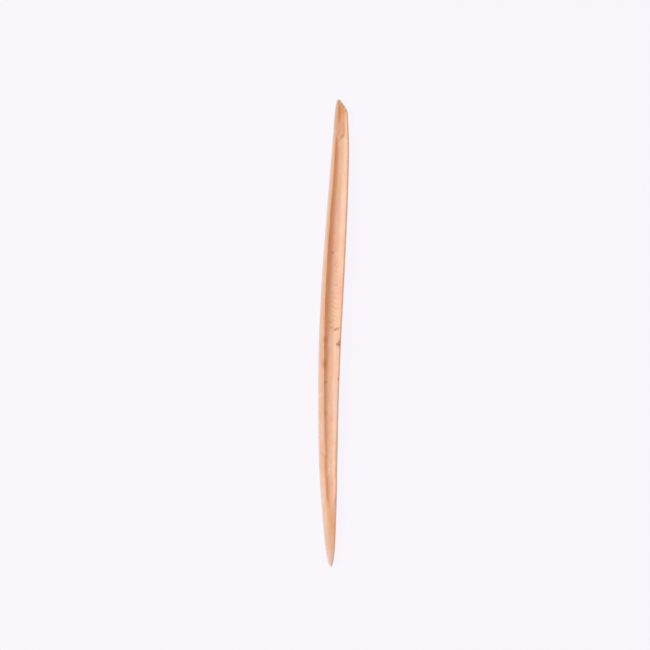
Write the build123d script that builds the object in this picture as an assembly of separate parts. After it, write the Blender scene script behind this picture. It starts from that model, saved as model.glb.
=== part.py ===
from build123d import *
import math
import os

os.makedirs("parts", exist_ok=True)

# A clay modelling tool whittled from one sliver of wood. It lies on its back with the open gutter up:
# +Y runs from the lower point to the slanted blade, +X is to the right and +Z is out of the face.
# All sizes are in millimetres.

# Overall sizes
LENGTH = 200.0
WIDTH = 9.7
THICKNESS = 5.5
POINT_LENGTH = 60.0
BLADE_LENGTH = 40.0

# Cross-section of the stick
RIGHT_LEAN = 0.055
LEFT_LEAN = 0.02
SHOULDER = 0.62
BELLY_FULLNESS = 1.04
POINT_CROWN = 0.11
GRIP_CROWN = 0.035
PLANED_OFF = 0.3

# Gutter along the face
GUTTER_DEPTH = 2.1
POINT_RIM = 2.95
BLADE_RIM = 1.15
RIGHT_RIM = 0.35
RUN_OUT = 0.35

# Slanted end of the blade; the angles are in degrees
SLANT = 53.0
TIP_RADIUS = 0.95
CORNER_RADIUS = 9.5
PEAK_INSET = 0.55
CORNER_INSET = 0.5
SIDE_SPLAY = 11.0

# Scoop gouged into the blade's face; its floor's heights are shares of THICKNESS
SCOOP_LENGTH = 17.2
SCOOP_RADIUS = 2.3
SCOOP_OFFSET_LOW = 0.2
SCOOP_OFFSET_TIP = 0.5
SCOOP_FLOOR_LOW = 0.38
SCOOP_FLOOR_TIP = 0.32

# The stick's cross-sections, from the lower point to just past the blade's tip. Each row gives the zone
# and the share of it, the width as a share of WIDTH, the sideways place of the middle line, and the
# heights of the face and of the unplaned back as shares of THICKNESS.
SECTIONS = [
    ("point", 0.00, 0.05, -0.05, 0.38, 0.290),
    ("point", 0.04, 0.25, -0.43, 0.50, 0.235),
    ("point", 0.14, 0.435, -0.70, 0.63, 0.165),
    ("point", 0.35, 0.61, -1.20, 0.77, 0.090),
    ("point", 0.50, 0.71, -1.55, 0.83, 0.060),
    ("point", 0.75, 0.82, -2.05, 0.90, 0.025),
    ("grip", 0.10, 0.91, -2.30, 0.95, 0.010),
    ("grip", 0.35, 0.98, -2.05, 0.99, 0.000),
    ("grip", 0.60, 1.00, -1.20, 0.99, 0.000),
    ("grip", 0.82, 0.95, -0.20, 0.92, 0.015),
    ("blade", 0.05, 0.87, 0.70, 0.80, 0.065),
    ("blade", 0.50, 0.75, 1.35, 0.655, 0.155),
    ("blade", 0.80, 0.61, 1.45, 0.53, 0.245),
    ("blade", 1.05, 0.46, 1.50, 0.42, 0.325),
]
FIRST_GUTTER_SECTION = 4


def place_along(zone, share):
    """Distance from the lower point of a place given by its zone and its share of that zone."""
    if zone == "point":
        return share * POINT_LENGTH
    if zone == "grip":
        return POINT_LENGTH + share * (LENGTH - POINT_LENGTH - BLADE_LENGTH)
    return LENGTH - BLADE_LENGTH + share * BLADE_LENGTH


class Section:
    """One cross-section of the stick, with its face, its back and the gutter's edges."""

    def __init__(self, zone, share, width_share, middle, face_share, back_share):
        self.y = place_along(zone, share)
        self.width = width_share * WIDTH
        self.middle = middle
        self.left = middle - self.width / 2
        self.right = middle + self.width / 2
        self.face = face_share * THICKNESS
        self.back = back_share * THICKNESS - PLANED_OFF
        toward_grip = min(self.y / POINT_LENGTH, 1.0)
        self.crown = self.width * (POINT_CROWN + toward_grip * (GRIP_CROWN - POINT_CROWN))
        self.face_left = self.left + LEFT_LEAN * self.width
        self.face_right = self.right - RIGHT_LEAN * self.width
        left_rim = POINT_RIM + (self.y / LENGTH) ** 2 * (BLADE_RIM - POINT_RIM)
        self.gutter_left = self.left + left_rim
        self.gutter_right = self.face_right - RIGHT_RIM

    def outline(self):
        """The stick's outline here: a crowned face above and a rounded belly below."""
        arris = self.face - self.crown
        depth = SHOULDER * (arris - self.back)
        shoulder = self.back + depth
        bilge_out = BELLY_FULLNESS * self.width / 2 * math.cos(math.radians(45))
        bilge_up = shoulder - BELLY_FULLNESS * depth * math.sin(math.radians(45))
        belly = [
            (self.face_right, arris),
            (self.right, shoulder),
            (self.middle + bilge_out, bilge_up),
            (self.middle, self.back),
            (self.middle - bilge_out, bilge_up),
            (self.left, shoulder),
            (self.face_left, arris),
        ]
        crown_top = ((self.face_left + self.face_right) / 2, self.face)
        face_arc = ThreePointArc(belly[-1], crown_top, belly[0])
        plane = Plane(origin=(0, self.y, 0), x_dir=(1, 0, 0), z_dir=(0, -1, 0))
        return plane * make_face(face_arc + Spline(belly))

    def face_height(self, x):
        """Height of the crowned face at a sideways place."""
        half = (self.face_right - self.face_left) / 2
        from_crown = (x - self.face_left - half) / half
        return self.face - self.crown * from_crown**2


def gutter_radius(sections):
    """Radius of the round gouge that leaves both rims and the wanted depth at the widest section."""
    widest = max(s.gutter_right - s.gutter_left for s in sections)
    return ((widest / 2) ** 2 + GUTTER_DEPTH**2) / (2 * GUTTER_DEPTH)


def gutter_cutter(sections):
    """The long round gouge cut: it follows the rims and lifts out of the face above the point."""
    radius = gutter_radius(sections)
    run_out, cut = sections[FIRST_GUTTER_SECTION - 1], sections[FIRST_GUTTER_SECTION:]
    start = (run_out.gutter_left + run_out.gutter_right) / 2
    centres = [(start, run_out.y, run_out.face + RUN_OUT + radius)]
    for s in cut:
        half = (s.gutter_right - s.gutter_left) / 2
        edge = (s.face_height(s.gutter_left) + s.face_height(s.gutter_right)) / 2
        lift = math.sqrt(radius**2 - half**2)
        centres.append(((s.gutter_left + s.gutter_right) / 2, s.y, edge + lift))
    return loft([Plane(origin=c, z_dir=(0, -1, 0)) * Circle(radius) for c in centres])


def blade_end(shoulder, tip):
    """Tall block whose plan is the slanted, rounded end of the blade between two sections' edges."""
    # Rounding the peak lowers it, so the peak starts that far past LENGTH.
    opening = math.radians(90 - SLANT + SIDE_SPLAY)
    lean = math.radians(90 - SLANT - SIDE_SPLAY) / 2
    rounded_off = TIP_RADIUS * (math.cos(lean) / math.sin(opening / 2) - 1)
    peak = (tip.left + PEAK_INSET, LENGTH + rounded_off)
    corner_x = shoulder.right - CORNER_INSET
    corner = (corner_x, peak[1] - (corner_x - peak[0]) * math.tan(math.radians(SLANT)))
    low = -POINT_LENGTH
    splay = math.tan(math.radians(SIDE_SPLAY))
    low_right = (corner[0] + splay * (corner[1] - low), low)
    low_left = (peak[0] - splay * (peak[1] - low), low)
    plan = make_face(Polyline(peak, corner, low_right, low_left, close=True))
    plan = fillet(plan.vertices().sort_by(Axis.Y)[-1], TIP_RADIUS)
    plan = fillet(plan.vertices().sort_by_distance((*corner, 0))[0], CORNER_RADIUS)
    return Pos(0, 0, -THICKNESS) * extrude(plan, 3 * THICKNESS)


def scoop_cutter(middle_low, middle_tip):
    """Round gouge with a ball end, sunk into the blade's face and running out over the tip."""
    r = SCOOP_RADIUS
    start = Vector(middle_low + SCOOP_OFFSET_LOW, LENGTH - SCOOP_LENGTH + r, SCOOP_FLOOR_LOW * THICKNESS + r)
    end = Vector(middle_tip + SCOOP_OFFSET_TIP, LENGTH, SCOOP_FLOOR_TIP * THICKNESS + r)
    along = Plane(origin=start, z_dir=end - start)
    reach = (end - start).length + r
    return Pos(start) * Sphere(r) + along * Cylinder(r, reach, align=(Align.CENTER, Align.CENTER, Align.MIN))


def modelling_stick():
    """The whole tool, standing on its planed back with its box centred on the origin."""
    sections = [Section(*row) for row in SECTIONS]
    stick = loft([s.outline() for s in sections])
    stick -= gutter_cutter(sections)
    heel, shoulder, tip = sections[-3:]
    stick &= blade_end(shoulder, tip)
    stick -= scoop_cutter(heel.middle, shoulder.middle)
    bench = Pos(0, LENGTH / 2, -THICKNESS) * Box(4 * WIDTH, 2 * LENGTH, 2 * THICKNESS)
    stick -= bench
    box = stick.bounding_box()
    return Pos(-box.center().X, -box.center().Y, -box.min.Z) * stick


tool = modelling_stick()
tool.label = "modelling_stick"
export_step(tool, "parts/modelling_stick.step")
print("volume", round(tool.volume, 1), "size", tool.bounding_box().size)
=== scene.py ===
import math
import bmesh
import bpy
from mathutils import Matrix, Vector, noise


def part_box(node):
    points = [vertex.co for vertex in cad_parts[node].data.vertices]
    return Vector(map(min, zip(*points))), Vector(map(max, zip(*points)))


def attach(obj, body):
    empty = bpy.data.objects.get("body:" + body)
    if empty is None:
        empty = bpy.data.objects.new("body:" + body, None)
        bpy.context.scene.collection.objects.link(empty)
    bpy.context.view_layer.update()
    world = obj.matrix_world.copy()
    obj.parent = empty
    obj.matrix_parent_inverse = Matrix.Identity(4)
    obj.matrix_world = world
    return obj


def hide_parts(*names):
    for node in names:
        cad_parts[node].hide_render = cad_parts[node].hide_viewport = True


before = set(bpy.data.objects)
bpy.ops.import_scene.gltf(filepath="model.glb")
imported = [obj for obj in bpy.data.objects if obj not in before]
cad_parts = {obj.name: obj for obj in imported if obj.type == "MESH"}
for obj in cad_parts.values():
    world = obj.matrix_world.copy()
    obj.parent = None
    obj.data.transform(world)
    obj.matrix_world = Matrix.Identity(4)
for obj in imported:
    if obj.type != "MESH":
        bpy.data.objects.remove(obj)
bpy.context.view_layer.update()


# The stick ---------------------------------------------------------------------------------------
# One sliver of pale wood, whittled down from a split length and left bare. It has no handle, ferrule
# or wire: the point, the grip and the blade are all one piece. Its sizes are in millimetres, and the
# mesh goes to metres once it is shaped.
MM = 0.001
STICK_LENGTH = 200.0

# First the knife. These are its cross-sections, from the lower point to just past the blade. Each row
# is the distance along, the width, where the middle line runs, and the heights of face and back.
WHITTLED = [
    (0.0, 0.55, -0.05, 2.09, 1.30),
    (1.0, 1.66, -0.33, 2.42, 1.13),
    (2.4, 2.52, -0.43, 2.75, 0.99),
    (8.4, 4.22, -0.70, 3.47, 0.61),
    (21.0, 5.92, -1.20, 4.24, 0.20),
    (30.0, 6.89, -1.55, 4.57, 0.03),
    (45.0, 7.95, -2.05, 4.95, -0.16),
    (70.0, 8.83, -2.30, 5.23, -0.25),
    (95.0, 9.51, -2.05, 5.45, -0.30),
    (120.0, 9.70, -1.20, 5.45, -0.30),
    (142.0, 9.22, -0.20, 5.06, -0.22),
    (162.0, 8.44, 0.70, 4.40, 0.06),
    (180.0, 7.28, 1.35, 3.60, 0.55),
    (192.0, 5.92, 1.45, 2.92, 1.05),
    (202.0, 4.46, 1.50, 2.31, 1.49),
]


def whittled(along):
    """Width, middle, face and back at a distance along, on a fair curve through the sections."""
    last = len(WHITTLED) - 1
    i = next((k for k in range(1, last) if along < WHITTLED[k][0]), last)
    before, low = WHITTLED[max(i - 2, 0)], WHITTLED[i - 1]
    high, after = WHITTLED[i], WHITTLED[min(i + 1, last)]
    span = high[0] - low[0]
    t = (along - low[0]) / span
    fair = []
    for k in range(1, 5):
        rise_low = (high[k] - before[k]) / (high[0] - before[0]) * span
        rise_high = (after[k] - low[k]) / (after[0] - low[0]) * span
        fair.append(
            low[k] * (1 + 2 * t) * (1 - t) ** 2
            + rise_low * t * (1 - t) ** 2
            + high[k] * t * t * (3 - 2 * t)
            + rise_high * t * t * (t - 1)
        )
    return fair


def eased(t):
    """A share that starts and ends gently: 0 below 0 and 1 above 1."""
    t = min(max(t, 0.0), 1.0)
    return t * t * (3 - 2 * t)


def stretch(along, starts, eases_in, ends, eases_out):
    """A share that is 1 along one stretch of the stick and eases away before and after it."""
    return eased((along - starts) / eases_in) * (1 - eased((along - ends) / eases_out))


def softest(a, b, blend):
    """The lower of two heights, with the crest between them rounded over a width of blend."""
    h = max(blend - abs(a - b), 0.0) / blend
    return min(a, b) - h * h * blend / 4


# The blade is cut off at a slant, with its tip and its corner rounded over and its edge thinned. Each
# BLEND rounds off a corner over that width.
SLANT = math.radians(53)
SLANT_PEAK = (-0.18, 201.31)
TIP_ROUND = 0.95
TIP_INSET = 0.51
SLANT_STARTS = 180.0
CORNER_BLEND = 1.1
SIDE_SPLAY = 0.19
SIDE_BLEND = 0.2
NARROWEST = 0.01
EDGE_THINNED = 0.3
EDGE_BEVEL = 0.9


def slant_at(along):
    """Where the slanted cut would cross this distance along the blade."""
    return SLANT_PEAK[0] + (SLANT_PEAK[1] - along) / math.tan(SLANT)


def edges_at(along, width, middle):
    """Left and right edges of the outline, trimmed to the slanted end of the blade."""
    left, right = middle - width / 2, middle + width / 2
    if along < SLANT_STARTS:
        return left, right
    right = softest(right, slant_at(along), CORNER_BLEND)
    tip_left = SLANT_PEAK[0] + TIP_INSET - TIP_ROUND
    below = STICK_LENGTH - TIP_ROUND
    if along > below:
        reach = math.sqrt(max(TIP_ROUND**2 - (along - below) ** 2, 0.0))
        centre = tip_left + TIP_ROUND
        left = max(left, centre - reach)
        right = min(right, centre + reach) if right > centre else centre + reach
    else:
        left = -softest(-left, SIDE_SPLAY * (below - along) - tip_left, SIDE_BLEND)
    return left, max(right, left + NARROWEST)


# The face is crowned by the knife, and towards the point it is left as two flats on a soft ridge.
RIGHT_LEAN, LEFT_LEAN = 0.055, 0.02
CROWN_AT_POINT, CROWN_AT_GRIP = 0.11, 0.035
CROWN_FADES = 60.0
RIDGE_SHARE = 0.42
RIDGE_RISE = 0.1
RIDGE_STARTS = 9.0
RIDGE_FADES = (14.0, 36.0)
RIDGE_BLEND = 0.25
LEFT_FLAT, RIGHT_FLAT = 0.12, 0.18
KNIFE_WAVER = 0.035
WAVER_ACROSS, WAVER_ALONG = 0.45, 0.07
EASE_DROP, EASE_WIDTH = 0.2, 0.7

# Then comes the round gouge, which leaves a wide left rim and a thin right one and lifts out above the
# point. It was pushed twice, so its floor and its left rim step where the second push ends. A STRETCH
# is where something starts, over how far it comes in, where it ends and over how far it goes.
RIM_AT_POINT, RIM_AT_BLADE = 2.95, 1.15
RIGHT_RIM = 0.35
RIM_WANDER, RIM_WAVES = 0.12, 0.13
RIM_DIP = 0.22
RIM_DIP_STRETCH = (98.0, 12.0, 150.0, 12.0)
RIM_BLEND = 0.2
GOUGE_RADIUS = 3.58
GOUGE_ENTERS, GOUGE_SETTLES = 21.0, 30.0
GOUGE_CLEAR = 0.35
FLOOR_FLATTER = 0.45
SECOND_PUSH = 0.45
SECOND_PUSH_STRETCH = (37.4, 1.6, 44.0, 5.0)
FIRST_PUSH_SHARE = 0.1
FIRST_PUSH_ENDS, FIRST_PUSH_EASES = 37.0, 1.6
DUG_IN, LIFTED = 0.1, 0.26
DUG_STRETCH = (24.0, 9.0, 37.2, 1.6)
LIFTED_STRETCH = (37.4, 1.8, 46.0, 20.0)

# The gouge chattered as it went, most of all past the middle, and left a fine uneven ripple.
CHATTER = 0.05
CHATTER_PITCH, CHATTER_SLANT, CHATTER_DRIFT = 3.3, 0.4, 9.0
CHATTER_ALONG, CHATTER_ACROSS = 0.09, 0.4
CHATTER_LEAST, CHATTER_EVEN = 0.25, 0.6
CHATTER_STRETCH = (92.0, 12.0, 128.0, 16.0)

# The scoop in the blade is one more push, of a narrower gouge, out over the tip.
SCOOP_FOOT, SCOOP_FOOT_MIDDLE, SCOOP_FOOT_ROUND = 182.7, 1.1, 0.55
SCOOP_RAMP = 1.0
SCOOP_LEAD, SCOOP_WIDE = 0.4, 2.8
SCOOP_DEPTH, SCOOP_DEPTH_AT_TIP = 0.78, 0.58
SCOOP_FALL = 0.12
SCOOP_LIP, SCOOP_LIP_IN = 1.3, 0.75
SCOOP_BLEND = 0.08

# The flanks round over into the back, which the knife leaves in long facets above a planed flat.
SHOULDER = 0.62
SHOULDER_BELOW_FACE = 0.15
FLANK_ROUND = 0.55
BACK_FULLNESS = 2.15
BACK_FACETS = 5
FACET_DEPTH = 1.0
FACET_DRIFT, FACET_DRIFT_WAVES = 0.5, 0.03
FACET_WAVES_ALONG, FACET_WAVES_AROUND = 0.05, 2.0
PLANED_BLEND = 0.12

# Each unevenness is read from a place of its own in the noise, so that no two go together.
RIM_PLACE, KNIFE_PLACE, CHATTER_PLACE = 4.7, 1.3, 7.7
FACET_DRIFT_PLACE, FACET_PLACE, STAIN_PLACE = (2.2, 5.0), 9.0, 8.8

# Nicks and tool marks: along, across, half length, half width, lean, depth, and how brown they are.
NICKS = [
    (101.8, 0.9, 0.8, 1.5, 0.25, 0.09, 0.62),
    (101.3, 0.1, 0.6, 1.1, 0.1, 0.06, 0.45),
    (102.4, -1.4, 0.9, 1.2, 0.10, 0.05, 0.34),
    (104.7, -2.1, 0.6, 1.3, 0.05, 0.06, 0.28),
    (105.7, -0.4, 0.4, 1.2, 0.0, 0.07, 0.15),
    (107.4, -0.2, 0.4, 1.3, 0.0, 0.08, 0.17),
    (110.7, 1.2, 0.4, 1.3, 0.08, 0.09, 0.24),
    (112.3, 1.3, 0.4, 1.1, 0.0, 0.08, 0.20),
    (117.3, -1.2, 0.9, 1.0, 0.0, 0.04, 0.14),
    (120.6, 0.45, 0.6, 0.5, 0.0, 0.10, 0.42),
    (129.1, -0.1, 0.6, 0.4, 0.0, 0.06, 0.20),
    (128.4, 0.9, 0.6, 0.6, 0.0, 0.04, 0.14),
    (134.4, -1.4, 0.8, 0.7, 0.2, 0.09, 0.60),
    (136.2, -0.2, 0.5, 0.4, 0.0, 0.05, 0.22),
    (168.0, 3.2, 1.1, 0.35, 0.0, 0.05, 0.30),
    (95.6, 2.5, 3.2, 1.4, 0.0, 0.07, 0.42),
    (95.5, 1.6, 1.8, 1.2, 0.0, 0.05, 0.45),
    (95.2, 1.1, 0.8, 0.9, 0.0, 0.03, 0.50),
    (80.4, 1.8, 0.9, 0.7, 0.0, 0.06, 0.60),
    (86.9, 0.45, 0.4, 0.35, 0.0, 0.05, 0.35),
    (79.0, -3.5, 0.7, 1.2, 0.0, 0.08, 0.22),
    (47.6, -2.3, 0.5, 0.35, 0.0, 0.05, 0.40),
    (48.1, -4.2, 0.6, 1.4, -0.9, 0.07, 0.14),
    (46.8, -3.2, 1.2, 0.5, 0.0, 0.05, 0.20),
    (66.0, -3.5, 1.0, 1.0, 0.0, 0.02, 0.08),
    (28.6, 1.4, 2.0, 0.5, 0.0, 0.04, 0.16),
    (64.5, 1.9, 3.0, 0.4, 0.0, 0.05, 0.26),
    (195.3, 3.3, 0.9, 0.5, 0.0, 0.04, 0.45),
    # This row and the next also paint shade in brown: on the foot wall of the scoop, which faces away
    # from the lamp, and down the right inside of the scoop.
    (184.2, 2.1, 1.1, 1.4, 0.95, 0.05, 0.20),
    (187.5, 2.7, 4.5, 0.8, 0.0, 0.03, 0.10),
    (158.5, -3.0, 0.5, 0.5, 0.0, 0.04, 0.10),
    (174.0, -0.9, 0.3, 1.0, 0.2, 0.03, 0.06),
    (92.8, -1.0, 0.8, 0.5, 0.3, 0.04, 0.10),
    (13.8, -1.4, 0.4, 1.6, 0.0, 0.03, 0.05),
]

# Where the bare wood has taken colour, with a few marked rows that paint shade and light instead: the
# same first five columns, and then how strongly. Below 0 in ROSY the wood is straw yellow there and not
# pink.
RUSTED_AND_SHADED = [
    (86.8, -4.2, 2.7, 1.6, 0.0, 0.90),
    (97.2, -4.1, 2.1, 1.3, 0.0, 0.85),
    (94.0, -4.2, 1.2, 0.6, 0.0, 0.60),
    (91.5, -2.6, 3.0, 1.0, 0.0, 0.28),
    (91.0, -3.6, 12.0, 1.0, 0.0, 0.30),
    (79.0, -3.5, 0.9, 1.2, 0.0, 0.40),
    (140.5, -2.8, 6.5, 1.0, 0.0, 0.50),
    (132.0, -2.9, 6.0, 1.1, 0.0, 0.25),
    (122.0, -3.2, 4.5, 1.0, 0.0, 0.28),
    (111.0, -3.6, 7.0, 0.8, 0.0, 0.28),
    (103.5, -4.6, 6.5, 0.6, 0.0, 0.35),
    (156.5, -1.8, 4.0, 0.9, 0.0, 0.20),
    (176.0, -0.7, 5.0, 0.8, 0.0, 0.22),
    (194.8, 0.65, 6.0, 0.75, 0.0, 1.18),
    (195.8, 2.1, 3.4, 1.4, 0.0, 0.60),
    (168.5, -0.1, 8.0, 0.8, 0.0, 0.20),
    (143.0, -3.5, 7.0, 0.6, 0.0, 0.30),
    (28.5, 1.3, 4.5, 0.6, 0.0, 0.40),
    (175.5, 0.3, 6.0, 1.2, 0.0, 0.32),
    (56.5, -2.4, 3.0, 0.8, 0.0, 0.22),
    (191.5, 1.5, 7.5, 1.9, 0.0, 0.16),
    # This row and the next paint shade: on the foot wall of the scoop, which faces away from the lamp,
    # and down the right inside of the scoop.
    (184.2, 2.0, 1.4, 1.5, 0.95, 0.45),
    (187.5, 2.6, 5.0, 0.9, 0.0, 0.30),
    (193.5, 3.2, 3.5, 0.7, 0.0, 0.40),
    (72.0, -3.8, 6.0, 0.7, 0.0, 0.12),
    (66.0, -3.5, 1.4, 1.2, 0.0, 0.35),
    (47.0, -3.3, 1.6, 0.7, 0.0, 0.35),
    (48.2, -4.2, 0.8, 1.5, -0.9, 0.30),
    (33.0, -2.2, 5.0, 0.6, 0.0, 0.14),
    (12.5, 1.15, 11.0, 0.6, 0.0, 1.10),
]
AMBERED = [
    (33.0, -2.3, 6.5, 1.2, 0.0, 0.50),
    (43.5, -3.2, 4.0, 0.6, 0.0, 0.35),
    (19.0, -0.2, 9.0, 2.2, 0.0, 0.80),
    (11.0, 0.7, 8.0, 0.9, 0.0, 0.40),
    (198.4, 0.1, 1.3, 1.0, 0.0, 0.60),
    (190.5, 1.3, 8.0, 2.2, 0.0, 0.60),
    (53.0, -4.5, 6.0, 1.2, 0.0, 0.40),
    (47.5, -4.6, 2.5, 1.0, 0.0, 0.35),
    (41.0, -4.2, 3.0, 0.7, 0.0, 0.25),
    (170.0, 4.4, 6.5, 0.5, 0.0, 0.45),
    (184.0, -1.0, 3.0, 0.6, 0.0, 0.50),
    (190.5, -0.3, 5.0, 0.5, 0.0, 0.80),
    (179.5, -0.95, 4.5, 0.5, 0.0, 0.80),
    (184.0, -0.2, 2.2, 1.2, 0.0, 0.35),
    (45.0, -4.5, 4.5, 1.0, 0.0, 0.35),
    (29.0, -3.7, 5.0, 0.8, 0.0, 0.18),
    (63.5, -0.4, 3.5, 1.6, 0.0, 0.35),
    (34.0, 0.2, 11.0, 1.3, 0.0, 0.35),
    (20.0, 0.2, 7.0, 0.9, 0.0, 0.35),
    (53.5, 0.2, 3.0, 1.2, 0.0, 0.50),
    (92.3, -1.2, 2.2, 0.5, 0.5, 0.50),
]
PALED_AND_LIT = [
    (157.0, 3.0, 7.0, 1.7, 0.0, 0.70),
    (146.0, 2.6, 8.0, 1.5, 0.0, 0.45),
    (128.0, 2.6, 7.0, 1.3, 0.0, 0.30),
    # This row paints a highlight: the lit lip just below the crack at 101.8.
    (100.6, 0.3, 0.7, 1.2, 0.0, 0.50),
    (108.3, 1.0, 1.6, 0.6, 0.0, 0.50),
    (103.8, 1.2, 1.4, 0.9, 0.0, 0.50),
    (110.0, 1.9, 0.5, 0.6, 0.0, 0.50),
    (93.0, -0.1, 5.5, 1.4, 0.0, 0.60),
    (168.0, 2.0, 9.0, 1.5, 0.0, 0.40),
    (141.2, -0.5, 0.8, 0.6, 0.0, 1.00),
    (42.0, -1.9, 0.8, 0.6, 0.0, 0.80),
    # This row paints light: the floor as it rises towards the lamp just past the step where the second
    # push of the gouge ends.
    (39.7, -1.3, 1.5, 1.4, 0.0, 0.15),
    (29.5, -3.7, 6.5, 0.9, 0.0, 0.55),
    (20.5, -2.7, 6.0, 0.8, 0.0, 0.50),
    (5.0, -0.5, 4.0, 1.3, 0.0, 0.55),
    (164.6, -2.2, 1.0, 0.35, 0.0, 0.60),
    (177.3, -0.9, 0.8, 0.3, 0.0, 0.50),
    (123.7, -4.6, 1.3, 0.7, 0.0, 0.50),
    (78.0, -0.5, 4.0, 1.3, 0.0, 0.25),
    (67.6, 0.2, 1.4, 1.2, 0.3, 0.55),
    (59.8, -0.4, 1.6, 0.9, 0.0, 0.45),
    (132.0, 0.5, 3.2, 1.6, 0.0, 0.55),
    (57.5, -4.8, 6.5, 1.2, 0.0, 0.75),
    (42.3, -1.9, 4.2, 1.3, 0.0, 0.75),
]
ROSY = [
    (129.0, 0.4, 5.5, 1.5, 0.0, 0.90),
    (122.5, 0.7, 3.5, 1.3, 0.0, 0.90),
    (117.0, 1.6, 4.0, 0.9, 0.0, 0.60),
    (137.5, 0.4, 3.0, 1.3, 0.0, 0.60),
    (169.0, -0.2, 6.5, 0.9, 0.0, 1.00),
    (154.0, 0.2, 4.0, 1.1, 0.0, 0.60),
    (186.2, 1.0, 2.0, 1.0, 0.0, 0.70),
    (85.0, -1.9, 1.6, 1.3, 0.0, 0.80),
    (27.5, 0.0, 4.0, 1.6, 0.0, 0.45),
    (36.0, -0.3, 6.0, 1.1, 0.0, 0.60),
    (52.0, 0.3, 5.0, 1.1, 0.0, 0.50),
    (89.0, -5.8, 10.0, 1.0, 0.0, 0.90),
    (114.0, -5.6, 10.0, 0.8, 0.0, 0.60),
    (77.0, -1.8, 5.0, 1.0, 0.0, -0.70),
    (108.0, -1.7, 9.5, 1.2, 0.0, -1.00),
    (161.0, 0.8, 4.5, 1.0, 0.0, -1.00),
    (183.6, 0.0, 2.4, 2.0, 0.0, -0.65),
    (190.0, 2.3, 3.0, 0.9, 0.0, -0.60),
    (194.5, 0.65, 5.0, 0.8, 0.0, 0.35),
    (45.5, -0.9, 3.0, 0.9, 0.0, -0.60),
    (11.5, -2.0, 3.0, 0.7, 0.0, -0.60),
    (82.0, -1.0, 6.0, 0.7, 0.0, -0.50),
    (64.0, 0.7, 24.0, 1.4, 0.0, -0.40),
    (92.0, -0.4, 6.0, 1.4, 0.0, -0.35),
    (140.5, 2.8, 3.5, 1.0, 0.0, -0.35),
    (167.0, 1.8, 8.0, 1.4, 0.0, -0.30),
    (72.0, -2.0, 2.5, 0.8, 0.0, 0.80),
]
GREYED = [
    (191.5, 3.9, 5.5, 0.7, 0.0, 0.60),
    (196.3, 3.2, 1.6, 0.6, -0.6, 0.50),
    (64.0, 0.8, 26.0, 1.3, 0.0, 0.55),
    (70.3, -0.3, 2.0, 0.9, 0.0, 0.50),
]


MARK_FADES = 1.3


def felt(along, across, mark):
    """How strongly a mark is felt at a place: 1 at its middle, easing to 0 at its edge."""
    long = (along - mark[0] - mark[4] * (across - mark[1])) / mark[2]
    wide = (across - mark[1]) / mark[3]
    return max(1 - long * long - wide * wide, 0.0) ** MARK_FADES


def close_by(along, marks):
    """The marks that reach this distance along the stick."""
    return [m for m in marks if abs(along - m[0]) < m[2] + abs(m[4]) * m[3]]


# How the whole stick is coloured: grey along both edges and at the ends; rust-brown on the slanted
# edge, partly the darker cut end of the grain and partly painted shade on the bevel that faces away
# from the lamp; amber along the crest of the gutter's left rim, and painted shade in amber on its left
# wall, which faces away from the lamp; and painted light in pale on the lamp-facing right part of its
# floor, more so towards the blade.
GREYED_IN = 0.8
POINT_GREY, POINT_GREY_REACH = 0.7, 5.0
TIP_GREY, TIP_GREY_FROM, TIP_GREY_EASES = 0.5, 199.0, 1.0
LOW_GREY, LOW_GREY_ENDS, LOW_GREY_EASES = 0.7, 35.0, 20.0
EDGE_RUST_AND_SHADE = 0.5
STAIN_WANDER, STAIN_WAVES = 0.12, 0.11
SUNK_FULLY = 0.35
WALL_SHADE_AMBER, WALL_FROM, WALL_FADES = 0.95, 0.12, 0.32
CREST_AMBER, CREST_OUT, CREST_HALF = 0.75, 0.25, 0.8
FLOOR_FROM, FLOOR_EASES = 0.55, 0.35
LIT_FLOOR_PALE, LIT_FLOOR_PALER = 0.3, 0.45
PALER_FROM, PALER_EASES = 90.0, 50.0


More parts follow.
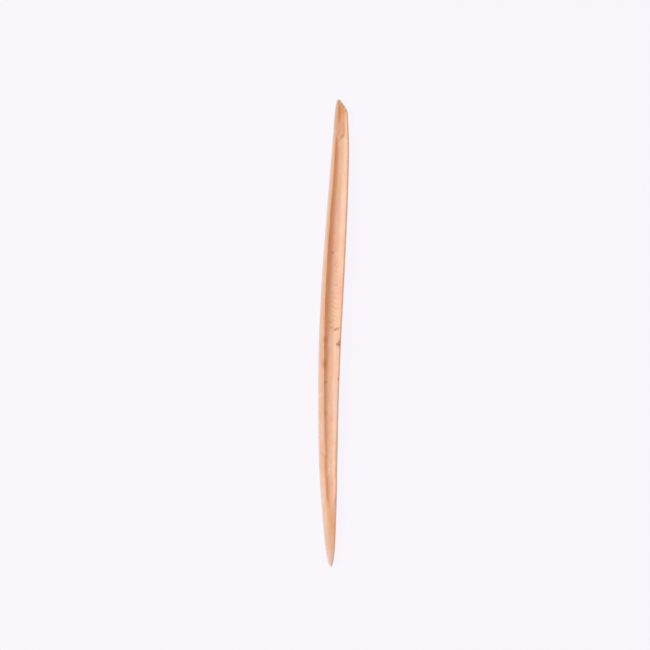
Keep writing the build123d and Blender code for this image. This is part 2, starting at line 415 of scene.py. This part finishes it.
class Slice:
    """One thin slice across the stick, at a distance along it from the lower point."""

    def __init__(self, along):
        self.along = along
        self.width, self.middle, self.face, self.back = whittled(along)
        self.left, self.right = edges_at(along, self.width, self.middle)
        toward_grip = min(along / CROWN_FADES, 1.0)
        crown_share = CROWN_AT_POINT + toward_grip * (CROWN_AT_GRIP - CROWN_AT_POINT)
        self.crown = self.width * crown_share
        self.face_left = self.left + LEFT_LEAN * self.width
        self.face_right = self.right - RIGHT_LEAN * self.width
        self.crown_middle = self.middle - (RIGHT_LEAN - LEFT_LEAN) * self.width / 2
        self.half_face = self.width * (1 - RIGHT_LEAN - LEFT_LEAN) / 2
        self.ridge = self.left + RIDGE_SHARE * self.width
        low, high = RIDGE_FADES
        self.ridged = (1 - eased((along - low) / (high - low))) * eased(along / RIDGE_STARTS)
        self.nicks = close_by(along, NICKS)
        self.rusted_and_shaded = close_by(along, RUSTED_AND_SHADED)
        self.ambered = close_by(along, AMBERED)
        self.paled_and_lit = close_by(along, PALED_AND_LIT)
        self.rosy = close_by(along, ROSY)
        self.greyed = close_by(along, GREYED)
        self.place_gouge()
        highest = self.back + SHOULDER * (self.face - self.crown - self.back)
        self.arris = (self.faced(self.face_left), self.faced(self.face_right))
        below = SHOULDER_BELOW_FACE * min(along, 1.0)
        self.shoulder = [min(highest, top - below) for top in self.arris]

    def place_gouge(self):
        """Where the long gouge runs in this slice: its edges, and the middle of its round."""
        along = self.along
        rim = RIM_AT_POINT + (along / STICK_LENGTH) ** 2 * (RIM_AT_BLADE - RIM_AT_POINT)
        rim += RIM_WANDER * noise.noise((along * RIM_WAVES, RIM_PLACE, 0.0))
        rim -= RIM_DIP * stretch(along, *RIM_DIP_STRETCH)
        first_push = 1 - eased((along - FIRST_PUSH_ENDS) / FIRST_PUSH_EASES)
        rim += SECOND_PUSH * FIRST_PUSH_SHARE * first_push
        rim -= SECOND_PUSH * stretch(along, *SECOND_PUSH_STRETCH)
        self.cut_left = self.middle - self.width / 2 + rim
        self.cut_right = self.middle + self.width * (0.5 - RIGHT_LEAN) - RIGHT_RIM
        half = self.gouge_half = (self.cut_right - self.cut_left) / 2
        edge = (self.knifed(self.cut_left) + self.knifed(self.cut_right)) / 2
        lift = math.sqrt(max(GOUGE_RADIUS**2 - half**2, 0.0))
        t = min((along - GOUGE_ENTERS) / (GOUGE_SETTLES - GOUGE_ENTERS), 1.0)
        sunk = GOUGE_RADIUS - lift
        dug = DUG_IN * stretch(along, *DUG_STRETCH) - LIFTED * stretch(along, *LIFTED_STRETCH)
        self.floor = edge - (sunk + GOUGE_CLEAR) * t + GOUGE_CLEAR - dug
        self.gouge_middle = (self.cut_left + self.cut_right) / 2

    def knifed(self, x):
        """Height of the face as the knife leaves it: crowned, and ridged towards the point."""
        z = self.face - self.crown * ((x - self.crown_middle) / self.half_face) ** 2
        if self.ridged > 0:
            left_flat = self.face + RIDGE_RISE - LEFT_FLAT * (self.ridge - x)
            right_flat = self.face + RIDGE_RISE - RIGHT_FLAT * (x - self.ridge)
            z += self.ridged * (softest(left_flat, right_flat, RIDGE_BLEND) - z)
        return z

    def faced(self, x):
        """Height of the finished face, after the knife, the gouges, the nicks and the wear."""
        z = self.knifed(x)
        z += KNIFE_WAVER * noise.noise((x * WAVER_ACROSS, self.along * WAVER_ALONG, KNIFE_PLACE))
        for off in (x - self.left, self.right - x):
            z -= EASE_DROP * max(1 - off / EASE_WIDTH, 0.0) ** 2
        across = x - self.gouge_middle
        if self.along > GOUGE_ENTERS and abs(across) < GOUGE_RADIUS:
            rise = GOUGE_RADIUS - math.sqrt(GOUGE_RADIUS**2 - across**2)
            round_floor = self.floor + rise * (abs(across) / self.gouge_half) ** FLOOR_FLATTER
            wave = noise.noise((self.along * CHATTER_ALONG, x * CHATTER_ACROSS, CHATTER_PLACE))
            turn = CHATTER_PITCH * self.along + CHATTER_DRIFT * wave + CHATTER_SLANT * x
            strength = CHATTER_LEAST + stretch(self.along, *CHATTER_STRETCH)
            round_floor += CHATTER * math.sin(turn) * strength * (CHATTER_EVEN + wave)
            z = softest(z, round_floor, RIM_BLEND)
        z = self.scooped(x, z)
        if self.along > SLANT_STARTS:
            back_from_edge = (slant_at(self.along) - x) * math.sin(SLANT)
            z -= EDGE_THINNED * max(1 - back_from_edge / EDGE_BEVEL, 0.0) ** 2
        return z - self.taken(x, self.nicks)

    def taken(self, x, marks, column=5):
        """The sum of one column of the marks at a sideways place, each as far as it is felt there."""
        return sum(m[column] * felt(self.along, x, m) for m in marks)

    def scooped(self, x, z):
        """Height of the face after the blade's scoop has been pushed out over the tip."""
        foot = SCOOP_FOOT + SCOOP_FOOT_ROUND * (x - SCOOP_FOOT_MIDDLE) ** 2
        pushed = eased((self.along - foot) / SCOOP_RAMP)
        if pushed == 0:
            return z
        toward_tip = eased((self.along - SCOOP_FOOT) / (STICK_LENGTH - SCOOP_FOOT))
        depth = SCOOP_DEPTH + toward_tip * (SCOOP_DEPTH_AT_TIP - SCOOP_DEPTH)
        off = x - self.cut_left + SCOOP_LEAD
        floor = self.knifed(self.cut_left) - depth * eased(off / SCOOP_WIDE)
        floor -= SCOOP_FALL * max(off - SCOOP_WIDE, 0.0)
        lip = SCOOP_LIP * (x - self.cut_right + SCOOP_LIP_IN)
        if lip > 0:
            floor = softest(z, floor + lip, SCOOP_BLEND)
        return z + pushed * (floor - z)

    def backed(self, x, around):
        """Height of the rounded back, with its long facets and the planed flat."""
        half = (self.right - self.left) / 2
        out = (x - (self.left + self.right) / 2) / half
        left_shoulder, right_shoulder = self.shoulder
        shoulder = left_shoulder + (right_shoulder - left_shoulder) * (1 + out) / 2
        roundness = (1 - min(abs(out), 1.0) ** BACK_FULLNESS) ** (1 / BACK_FULLNESS)
        drift = FACET_DRIFT * noise.noise((self.along * FACET_DRIFT_WAVES, *FACET_DRIFT_PLACE))
        facet = abs(((around - 1) * BACK_FACETS + drift) % 1.0 - 0.5)
        half_turn = math.pi / 2 / BACK_FACETS
        flat = math.cos(half_turn) / math.cos((1 - 2 * facet) * half_turn)
        place = (self.along * FACET_WAVES_ALONG, around * FACET_WAVES_AROUND, FACET_PLACE)
        cut = FACET_DEPTH * (flat - 1) * (0.5 + noise.noise(place))
        z = shoulder - (shoulder - self.back) * roundness * (1 + cut)
        return -softest(-z, 0.0, PLANED_BLEND)

    def skin(self, around):
        """Sideways place and height of a point of the skin. around is 0 to 2, the face first."""
        x = (self.left + self.right) / 2 + (self.right - self.left) / 2 * math.cos(math.pi * around)
        if around > 1:
            return x, self.backed(x, around)
        if self.face_left <= x <= self.face_right:
            return x, self.faced(x)
        if x > self.face_right:
            side, lean = 1, (x - self.face_right) / (self.right - self.face_right)
        else:
            side, lean = 0, (self.face_left - x) / (self.face_left - self.left)
        shoulder = self.shoulder[side]
        rise = max(1 - lean, 0.0) ** FLANK_ROUND
        return x, shoulder + (self.arris[side] - shoulder) * rise

    def colours(self, x, z, around):
        """How brown, rusty, amber, pale, rosy and grey the wood is here, with painted shade in the
        brown, rust and amber, and painted light in the pale.
        """
        along = self.along
        greyed = max(1 - min(x - self.left, self.right - x) / GREYED_IN, 0.0)
        greyed += POINT_GREY * (1 - eased(along / POINT_GREY_REACH))
        greyed += TIP_GREY * eased((along - TIP_GREY_FROM) / TIP_GREY_EASES)
        greyed *= 1 + LOW_GREY * (1 - eased((along - LOW_GREY_ENDS) / LOW_GREY_EASES))
        greyed += self.taken(x, self.greyed)
        if around > 1:
            return 0.0, 0.0, 0.0, 0.0, 0.0, min(greyed, 1.0)
        brown = self.taken(x, self.nicks, column=6)
        rust_and_shade, amber_and_shade = self.taken(x, self.rusted_and_shaded), self.taken(x, self.ambered)
        pale, rosy = self.taken(x, self.paled_and_lit), self.taken(x, self.rosy)
        off_left = (self.face_left - x) / (LEFT_LEAN * self.width)
        off_right = (x - self.face_right) / (RIGHT_LEAN * self.width)
        off_face = max(off_left, off_right)
        if off_face > 0:
            kept = 1 - eased(off_face)
            return [c * kept for c in (brown, rust_and_shade, amber_and_shade, pale, rosy)] + [min(greyed, 1.0)]
        # Rust-brown along the slanted edge: partly the darker cut end of the grain, partly painted
        # shade on the edge bevel that faces away from the lamp.
        if along > SLANT_STARTS:
            back_from_edge = (slant_at(along) - x) * math.sin(SLANT)
            rust_and_shade += EDGE_RUST_AND_SHADE * eased(1 - back_from_edge / EDGE_BEVEL)
        if along < GOUGE_ENTERS:
            return brown, rust_and_shade, amber_and_shade, pale, rosy, greyed
        across = (x - self.cut_left) / (self.cut_right - self.cut_left)
        wander = STAIN_WANDER * noise.noise((along * STAIN_WAVES, STAIN_PLACE, 0.0))
        # Painted shade: amber on the gutter's left wall, which faces away from the lamp, stronger the
        # deeper the wall sinks below the face. The amber along the crest of the left rim is added as
        # well.
        in_gutter = 1 - eased((along - SCOOP_FOOT) / SCOOP_RAMP)
        in_gutter *= eased((self.knifed(x) - z) / SUNK_FULLY)
        amber_and_shade += WALL_SHADE_AMBER * in_gutter * (1 - eased((across - WALL_FROM + wander) / WALL_FADES))
        amber_and_shade += CREST_AMBER * max(1 - ((x - self.cut_left + CREST_OUT) / CREST_HALF) ** 2, 0.0)
        # Painted light: pale on the right part of the gutter floor, which faces the lamp, more so
        # towards the blade.
        lit_floor_pale = LIT_FLOOR_PALE + LIT_FLOOR_PALER * eased((along - PALER_FROM) / PALER_EASES)
        pale += lit_floor_pale * in_gutter * eased((across - FLOOR_FROM) / FLOOR_EASES)
        return brown, rust_and_shade, amber_and_shade, pale, rosy, greyed


# A dowel's skin is worked into that shape, ring by ring. Its rings lie close together at both ends, and
# more of its points go round the face than round the back.
AROUND = 120
RINGS = 800
FACE_SHARE = 2 / 3
END_RINGS = 28
END_REACH = 4.0
CAP_MIDDLE = 0.5
SANDED = 0.5


def ring_place(ring):
    """Distance along the stick of a ring: close together at both ends, even between them."""
    if ring < END_RINGS:
        return END_REACH * (ring / END_RINGS) ** 2
    if ring > RINGS - END_RINGS:
        return STICK_LENGTH - END_REACH * ((RINGS - ring) / END_RINGS) ** 2
    even = (STICK_LENGTH - 2 * END_REACH) / (RINGS - 2 * END_RINGS)
    return END_REACH + even * (ring - END_RINGS)


blank = bmesh.new()
bmesh.ops.create_cone(blank, cap_ends=True, segments=AROUND, radius1=1, radius2=1, depth=RINGS)
bmesh.ops.rotate(blank, verts=blank.verts, matrix=Matrix.Rotation(-math.pi / 2, 3, "X"))
long_edges = [e for e in blank.edges if abs(e.verts[0].co.y - e.verts[1].co.y) > RINGS / 2]
bmesh.ops.subdivide_edges(blank, edges=long_edges, cuts=RINGS - 1, use_grid_fill=True)
bmesh.ops.poke(blank, faces=[f for f in blank.faces if len(f.verts) > 4])
tint_names = ("brown", "rust_and_shade", "amber_and_shade", "pale", "rosy", "greyed")
tints = [blank.verts.layers.float.new(name) for name in tint_names]
grain = blank.verts.layers.float_vector.new("grain")
slices = [Slice(ring_place(ring)) for ring in range(RINGS + 1)]
for v in blank.verts:
    cut = slices[round(v.co.y + RINGS / 2)]
    turn = math.atan2(v.co.z, v.co.x) / (2 * math.pi) % 1.0
    around = turn / FACE_SHARE
    if turn >= FACE_SHARE:
        around = 1 + (turn - FACE_SHARE) / (1 - FACE_SHARE)
    if math.hypot(v.co.x, v.co.z) < CAP_MIDDLE:
        x, z = (cut.left + cut.right) / 2, (cut.face + cut.back) / 2
    else:
        x, z = cut.skin(around)
    for layer, strength in zip(tints, cut.colours(x, z, around)):
        v[layer] = strength
    v[grain] = (x - cut.middle, cut.along, z)
    v.co = (x, cut.along, z)
bmesh.ops.smooth_vert(blank, verts=blank.verts, factor=SANDED, use_axis_x=True, use_axis_z=True)

# The finished stick goes to metres and on to its place, where the solid of the same shape lies.
bmesh.ops.scale(blank, vec=(MM, MM, MM), verts=blank.verts)
low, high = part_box("modelling_stick")
xs = [v.co.x for v in blank.verts]
shift = ((low.x + high.x) / 2 - (min(xs) + max(xs)) / 2, low.y, 0)
bmesh.ops.translate(blank, vec=shift, verts=blank.verts)
bmesh.ops.recalc_face_normals(blank, faces=blank.faces)
for f in blank.faces:
    f.smooth = True
mesh = bpy.data.meshes.new("whittled_stick")
blank.to_mesh(mesh)
blank.free()
stick = bpy.data.objects.new("whittled_stick", mesh)
bpy.context.collection.objects.link(stick)

# The bare wood. Its grain follows the bow of the stick, because the sliver was split and not sawn:
# soft bands of growth, fine fibres, short open pores and a few flecks, under what handling left and
# the painted shade and light in the gutter, on the slanted edge and in the scoop.
WOOD_TAN = (0.88, 0.50, 0.33, 1)
WOOD_PEACH = (0.90, 0.555, 0.385, 1)
WOOD_CREAM = (0.90, 0.66, 0.515, 1)
WOOD_PINK = (0.88, 0.47, 0.365, 1)
WOOD_STRAW = (0.80, 0.52, 0.27, 1)
WOOD_AMBER = (0.91, 0.445, 0.22, 1)
WOOD_RUST = (0.73, 0.29, 0.09, 1)
WOOD_BROWN = (0.32, 0.16, 0.07, 1)
PORE_BROWN = (0.50, 0.25, 0.14, 1)
WOOD_GREY = (0.72, 0.56, 0.46, 1)
MOTTLE_SHARE = 0.45
PINK_SHARE, STRAW_SHARE = 0.5, 0.4
RIBBON_SHARE = 0.2
FIBRE_SHARE = 0.13
PORE_SHARE = 0.45
GREYED_SHARE = 0.7
SMOOTHEST, ROUGHEST = 0.47, 0.60
FIBRE_LOW, FIBRE_HIGH, PORE_SUNK = 0.3, 0.8, 0.5
RELIEF_STRENGTH, RELIEF_HEIGHT = 0.6, 0.03

wood = bpy.data.materials.new("pale_wood")
wood.use_nodes = True
tree = wood.node_tree
bsdf = tree.nodes["Principled BSDF"]


def node(kind, **sockets):
    """A new node of the wood, with its sockets set or joined by name; spaces are underscores."""
    made = tree.nodes.new(kind)
    for name, value in sockets.items():
        socket = made.inputs[name.replace("_", " ")]
        if isinstance(value, bpy.types.NodeSocket):
            tree.links.new(value, socket)
        else:
            socket.default_value = value
    return made


def attribute(name):
    """What the shaping stored on the skin under this name."""
    made = tree.nodes.new("ShaderNodeAttribute")
    made.attribute_name = name
    return made


def mixed(share, a, b):
    """Colour a going over to colour b by a share."""
    made = tree.nodes.new("ShaderNodeMix")
    made.data_type = "RGBA"
    for socket, value in ((made.inputs[0], share), (made.inputs[6], a), (made.inputs[7], b)):
        if isinstance(value, bpy.types.NodeSocket):
            tree.links.new(value, socket)
        else:
            socket.default_value = value
    return made.outputs[2]


def worked(operation, a, b):
    """A sum or product of two values, kept between 0 and 1."""
    made = tree.nodes.new("ShaderNodeMath")
    made.operation = operation
    made.use_clamp = True
    for socket, value in ((made.inputs[0], a), (made.inputs[1], b)):
        if isinstance(value, bpy.types.NodeSocket):
            tree.links.new(value, socket)
        else:
            socket.default_value = value
    return made.outputs[0]


def streaks(across, along, detail, roughness=0.55, slide=0.0):
    """Noise drawn out along the grain; across and along are its frequencies per millimetre."""
    drawn = node("ShaderNodeMapping", Vector=attribute("grain").outputs["Vector"],
                 Scale=(across, along, across), Location=(slide, slide, slide))
    return node("ShaderNodeTexNoise", Vector=drawn.outputs["Vector"], Scale=1.0,
                Detail=detail, Roughness=roughness).outputs["Fac"]


def ramped(value, low, high, to_low=0.0, to_high=1.0):
    """A value spread from the range low to high on to another range."""
    made = node("ShaderNodeMapRange", Value=value, From_Min=low, From_Max=high,
                To_Min=to_low, To_Max=to_high)
    return made.outputs["Result"]


bands = ramped(streaks(across=0.55, along=0.012, detail=2.0), low=0.38, high=0.62)
blotches = streaks(across=0.28, along=0.055, detail=2.0, slide=11.0)
ribbons = streaks(across=1.7, along=0.03, detail=3.0, slide=5.0)
fibres = streaks(across=7.0, along=0.14, detail=4.0, roughness=0.65)
pores = ramped(streaks(across=6.5, along=0.5, detail=1.0, slide=3.0), low=0.66, high=0.74)
ragged = streaks(across=1.6, along=0.9, detail=3.0, roughness=0.6, slide=8.0)
mottle = streaks(across=0.9, along=0.33, detail=3.0, roughness=0.6, slide=14.0)

# The growth comes first, then the wood's own blotches and the pale and pink places; the pale also
# carries painted light on the lamp-facing side of the gutter floor and on a few lit spots.
colour = mixed(bands, WOOD_TAN, WOOD_PEACH)
colour = mixed(attribute("pale").outputs["Fac"], colour, WOOD_CREAM)
colour = mixed(ramped(mottle, low=0.5, high=0.72, to_high=MOTTLE_SHARE), colour, WOOD_AMBER)
colour = mixed(ramped(mottle, low=0.48, high=0.3, to_high=MOTTLE_SHARE), colour, WOOD_CREAM)
rosy = attribute("rosy").outputs["Fac"]
pink_blotches = ramped(blotches, low=0.5, high=0.75, to_high=PINK_SHARE)
pinker = worked("ADD", pink_blotches, ramped(rosy, low=0.0, high=1.0))
colour = mixed(pinker, colour, WOOD_PINK)
straw_blotches = ramped(blotches, low=0.5, high=0.25, to_high=STRAW_SHARE)
strawy = worked("ADD", straw_blotches, ramped(rosy, low=0.0, high=-1.0))
colour = mixed(strawy, colour, WOOD_STRAW)

# Then what handling left, with the painted shade in the gutter, on the slanted edge and in the scoop,
# all with ragged edges, and the streaks and pores of the grain over it.
ragged_amber = ramped(ragged, low=0.3, high=0.6, to_low=0.75, to_high=1.0)
amber_and_shade = worked("MULTIPLY", attribute("amber_and_shade").outputs["Fac"], ragged_amber)
colour = mixed(amber_and_shade, colour, WOOD_AMBER)
ragged_rust = ramped(ragged, low=0.3, high=0.65, to_low=0.75, to_high=1.2)
rust_and_shade = worked("MULTIPLY", attribute("rust_and_shade").outputs["Fac"], ragged_rust)
colour = mixed(rust_and_shade, colour, WOOD_RUST)
streaked = worked("MULTIPLY", ramped(ribbons, low=0.35, high=0.65), RIBBON_SHARE)
colour = mixed(streaked, colour, WOOD_AMBER)
fine = worked("MULTIPLY", ramped(fibres, low=0.35, high=0.65), FIBRE_SHARE)
colour = mixed(fine, colour, PORE_BROWN)
colour = mixed(worked("MULTIPLY", pores, PORE_SHARE), colour, PORE_BROWN)
greyed = worked("MULTIPLY", attribute("greyed").outputs["Fac"], GREYED_SHARE)
colour = mixed(greyed, colour, WOOD_GREY)
ragged_brown = ramped(ragged, low=0.3, high=0.65, to_low=0.7, to_high=1.25)
brown = worked("MULTIPLY", attribute("brown").outputs["Fac"], ragged_brown)
colour = mixed(brown, colour, WOOD_BROWN)
tree.links.new(colour, bsdf.inputs["Base Color"])

# The fibres stand a little proud and the pores are sunk, and both break up the dull shine.
rough = ramped(fibres, low=0.3, high=0.7, to_low=SMOOTHEST, to_high=ROUGHEST)
tree.links.new(rough, bsdf.inputs["Roughness"])
proud = ramped(fibres, low=0.3, high=0.7, to_low=FIBRE_LOW, to_high=FIBRE_HIGH)
relief = worked("SUBTRACT", proud, worked("MULTIPLY", pores, PORE_SUNK))
bump = node("ShaderNodeBump", Height=relief, Strength=RELIEF_STRENGTH, Distance=RELIEF_HEIGHT * MM)
tree.links.new(bump.outputs["Normal"], bsdf.inputs["Normal"])
mesh.materials.append(wood)

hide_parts("modelling_stick")
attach(stick, "root")


# The tabletop ------------------------------------------------------------------------------------
# A matt white sheet that the tool lies on, a hair below its planed flat. It glows more than it takes
# light, so that almost no shadow shows on it.
SHEET_HALF = 3.0
SHEET_BELOW = 0.02
SHEET_BASE = (0.05, 0.05, 0.05, 1)
SHEET_GLOW = (0.906, 0.877, 0.925, 1)

sheet = bmesh.new()
bmesh.ops.create_grid(sheet, x_segments=1, y_segments=1, size=SHEET_HALF)
bmesh.ops.translate(sheet, vec=(0, 0, -SHEET_BELOW * MM), verts=sheet.verts)
tabletop_mesh = bpy.data.meshes.new("tabletop")
sheet.to_mesh(tabletop_mesh)
sheet.free()
tabletop = bpy.data.objects.new("tabletop", tabletop_mesh)
bpy.context.collection.objects.link(tabletop)
white = bpy.data.materials.new("matt_white")
white.use_nodes = True
paper = white.node_tree.nodes["Principled BSDF"]
paper.inputs["Base Color"].default_value = SHEET_BASE
paper.inputs["Roughness"].default_value = 1.0
paper.inputs["Specular IOR Level"].default_value = 0.0
paper.inputs["Emission Color"].default_value = SHEET_GLOW
paper.inputs["Emission Strength"].default_value = 1.0
tabletop_mesh.materials.append(white)


# Light and camera --------------------------------------------------------------------------------
# A big soft lamp stands to the left and a pale room lies all round. The camera looks straight down on
# the face, turned a little so that the stick leans as it does on the table. Places are in metres.
ROOM_COLOUR = (0.97, 0.96, 1.0, 1)
ROOM_STRENGTH = 0.60
LAMP_ACROSS, LAMP_POWER = 1.2, 52.0
LAMP_PLACE = (-2.1, -0.5, 2.1)
LENS, SENSOR_WIDTH = 85, 36
CAMERA_PLACE = (-0.00331, 0.00338, 0.6592)
CAMERA_TURN = math.radians(0.81)

world = bpy.data.worlds.new("pale_room")
bpy.context.scene.world = world
world.use_nodes = True
room = world.node_tree.nodes["Background"]
room.inputs["Color"].default_value = ROOM_COLOUR
room.inputs["Strength"].default_value = ROOM_STRENGTH

lamp_data = bpy.data.lights.new("left_lamp", "AREA")
lamp_data.shape = "DISK"
lamp_data.size = LAMP_ACROSS
lamp_data.energy = LAMP_POWER
lamp = bpy.data.objects.new("left_lamp", lamp_data)
lamp.location = LAMP_PLACE
lamp.rotation_mode = "QUATERNION"
lamp.rotation_quaternion = (-lamp.location).to_track_quat("-Z", "Y")
bpy.context.collection.objects.link(lamp)

camera_data = bpy.data.cameras.new("camera")
camera_data.lens = LENS
camera_data.sensor_width = SENSOR_WIDTH
camera = bpy.data.objects.new("camera", camera_data)
camera.location = CAMERA_PLACE
camera.rotation_euler = (0, 0, CAMERA_TURN)
bpy.context.collection.objects.link(camera)
bpy.context.scene.camera = camera
bpy.context.scene.view_settings.view_transform = "Standard"
